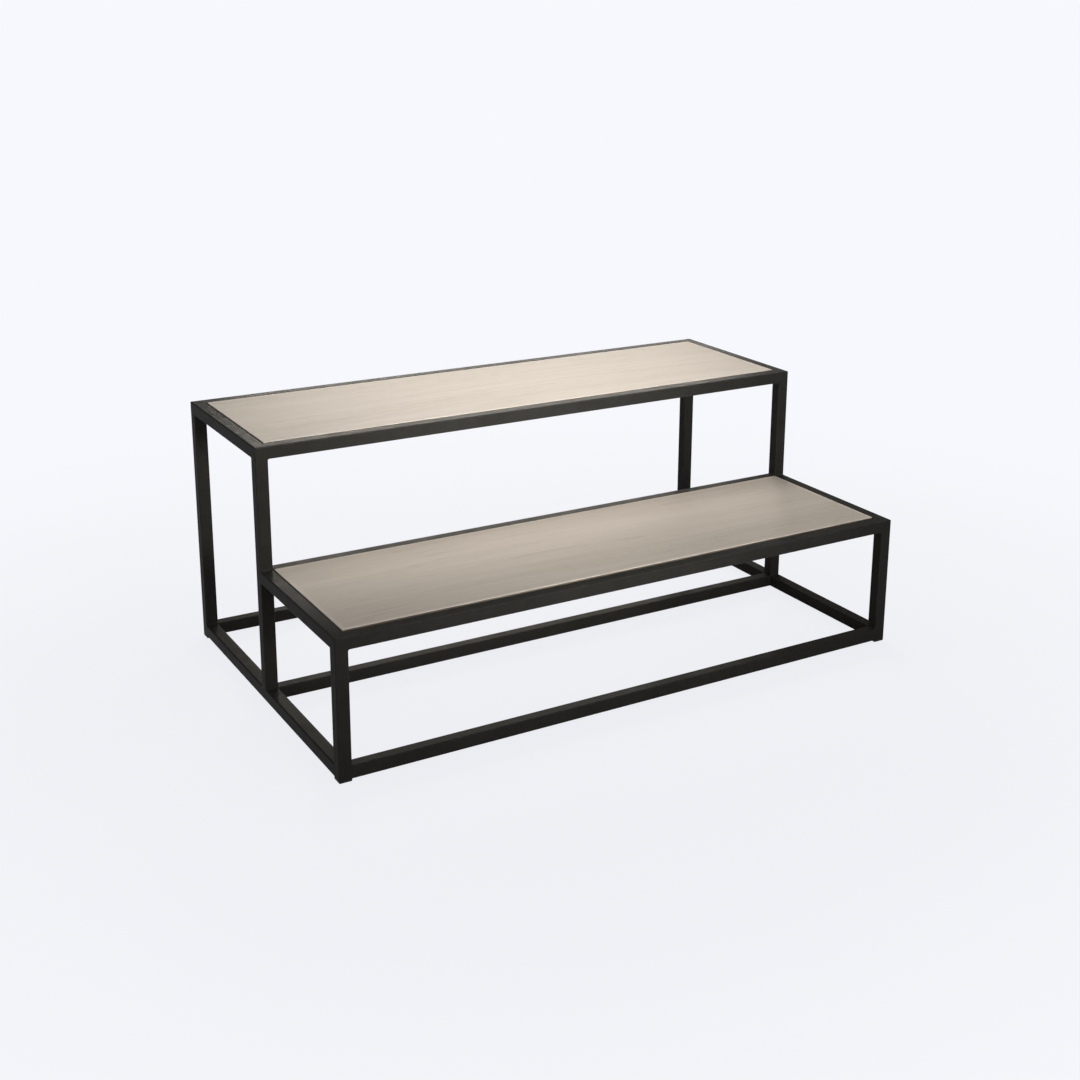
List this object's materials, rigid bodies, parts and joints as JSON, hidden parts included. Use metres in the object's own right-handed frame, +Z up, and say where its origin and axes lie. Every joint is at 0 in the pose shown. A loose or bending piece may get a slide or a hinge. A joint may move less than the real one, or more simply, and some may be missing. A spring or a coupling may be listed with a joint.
{
  "type": "two-tier display riser",
  "caption": "Stepped display stand: a welded frame of square black tube carries a low front shelf and a high rear shelf, each a pale wood-look board set into its ring.",
  "frame": {"origin": "on the floor, at the middle of the footprint", "axes": "+X to the right along the length, +Y from the low front tier to the high rear tier, +Z up"},
  "size_m": [1, 0.6, 0.4143],
  "materials": {
    "frame": "satin black powder coat",
    "shelf_board": "matt pale greige oak",
    "screws": "zinc plated",
    "glides": "moulded black"
  },
  "bodies": {
    "root": {"base_front_rail": "frame", "base_middle_rail": "frame", "base_back_rail": "frame", "base_left_rail": "frame", "base_right_rail": "frame", "front_left_leg": "frame", "front_right_leg": "frame", "middle_left_leg": "frame", "middle_right_leg": "frame", "rear_left_leg": "frame", "rear_right_leg": "frame", "upper_front_rail": "frame", "upper_back_rail": "frame", "upper_left_rail": "frame", "upper_right_rail": "frame", "lower_front_rail": "frame", "lower_back_rail": "frame", "lower_left_rail": "frame", "lower_right_rail": "frame", "upper_tab_front_1": "frame", "upper_tab_front_2": "frame", "upper_tab_front_3": "frame", "upper_tab_back_1": "frame", "upper_tab_back_2": "frame", "upper_tab_back_3": "frame", "lower_tab_front_1": "frame", "lower_tab_front_2": "frame", "lower_tab_front_3": "frame", "lower_tab_back_1": "frame", "lower_tab_back_2": "frame", "lower_tab_back_3": "frame", "upper_shelf_board": "shelf_board", "lower_shelf_board": "shelf_board", "upper_screw_front_1": "screws", "upper_screw_front_2": "screws", "upper_screw_front_3": "screws", "upper_screw_back_1": "screws", "upper_screw_back_2": "screws", "upper_screw_back_3": "screws", "lower_screw_front_1": "screws", "lower_screw_front_2": "screws", "lower_screw_front_3": "screws", "lower_screw_back_1": "screws", "lower_screw_back_2": "screws", "lower_screw_back_3": "screws", "front_left_glide": "glides", "front_right_glide": "glides", "rear_left_glide": "glides", "rear_right_glide": "glides"}
  },
  "joints": []
}
